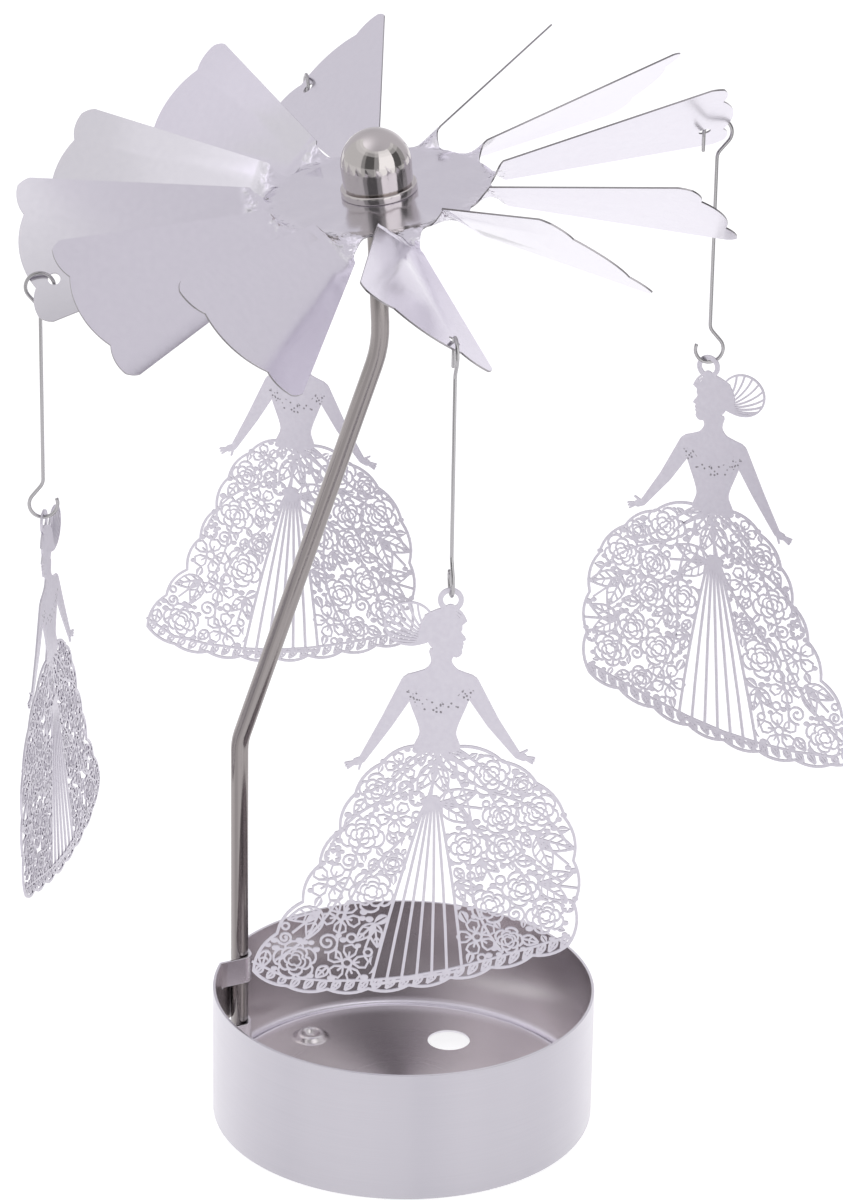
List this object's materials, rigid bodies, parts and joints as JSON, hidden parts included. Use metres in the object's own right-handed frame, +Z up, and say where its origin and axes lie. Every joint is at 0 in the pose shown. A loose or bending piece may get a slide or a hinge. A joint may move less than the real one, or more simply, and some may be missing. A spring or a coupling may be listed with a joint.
{
  "type": "tea-light carousel",
  "caption": "Spinning tea-light holder: a round metal cup, a bent post and a bladed wheel that hot air turns, with pierced pendants hung from it on wire hooks.",
  "frame": {"origin": "centre of the cup's underside, on the surface that it stands on", "axes": "+Z up along the cup's axis, -Y towards the front, +X to the right as seen from the front"},
  "size_m": [0.1402, 0.1231, 0.1826],
  "materials": {
    "cup_steel": "satin pressed steel",
    "post_steel": "polished drawn rod",
    "wheel_steel": "bright stamped sheet",
    "cap_steel": "polished",
    "hook_wire": "bright wire",
    "pendant_steel": "etched sheet"
  },
  "bodies": {
    "stand": {"base_cup": "cup_steel", "post": "post_steel"},
    "rotor": {"fan_wheel": "wheel_steel", "pivot_cap": "cap_steel"},
    "front_hook": {"hook_front": "hook_wire"},
    "left_hook": {"hook_left": "hook_wire"},
    "back_hook": {"hook_back": "hook_wire"},
    "right_hook": {"hook_right": "hook_wire"},
    "front_pendant": {"pendant_front": "pendant_steel"},
    "left_pendant": {"pendant_left": "pendant_steel"},
    "back_pendant": {"pendant_back": "pendant_steel"},
    "right_pendant": {"pendant_right": "pendant_steel"}
  },
  "joints": [
    {"name": "wheel_spin", "type": "hinge", "parent": "stand", "child": "rotor", "pos_m": [-0.00711, 0.0027, 0.1737], "axis": [0, 0, 1], "continuous": true},
    {"name": "front_hook_swing", "type": "hinge", "parent": "rotor", "child": "front_hook", "pos_m": [0.00647, -0.05087, 0.15636], "axis": [-0.9922, -0.1245, 0], "range_deg": [-10, 25]},
    {"name": "front_pendant_swing", "type": "hinge", "parent": "front_hook", "child": "front_pendant", "pos_m": [0.00647, -0.05087, 0.11694], "axis": [0.1245, -0.9922, 0], "range_deg": [-15, 15]},
    {"name": "left_hook_swing", "type": "hinge", "parent": "rotor", "child": "left_hook", "pos_m": [-0.05946, -0.00736, 0.15063], "axis": [-0.1146, 0.9934, 0], "range_deg": [-10, 25]},
    {"name": "left_pendant_swing", "type": "hinge", "parent": "left_hook", "child": "left_pendant", "pos_m": [-0.05946, -0.00736, 0.11122], "axis": [-0.9934, -0.1146, 0], "range_deg": [-15, 15]},
    {"name": "back_hook_swing", "type": "hinge", "parent": "rotor", "child": "back_hook", "pos_m": [-0.01903, 0.05806, 0.16435], "axis": [0.9867, 0.1626, 0], "range_deg": [-10, 25]},
    {"name": "back_pendant_swing", "type": "hinge", "parent": "back_hook", "child": "back_pendant", "pos_m": [-0.01903, 0.05806, 0.12494], "axis": [-0.1626, 0.9867, 0], "range_deg": [-15, 15]},
    {"name": "right_hook_swing", "type": "hinge", "parent": "rotor", "child": "right_hook", "pos_m": [0.0486, 0.01494, 0.17108], "axis": [0.1085, -0.9941, 0], "range_deg": [-10, 25]},
    {"name": "right_pendant_swing", "type": "hinge", "parent": "right_hook", "child": "right_pendant", "pos_m": [0.0486, 0.01494, 0.13167], "axis": [0.9941, 0.1085, 0], "range_deg": [-15, 15]}
  ]
}
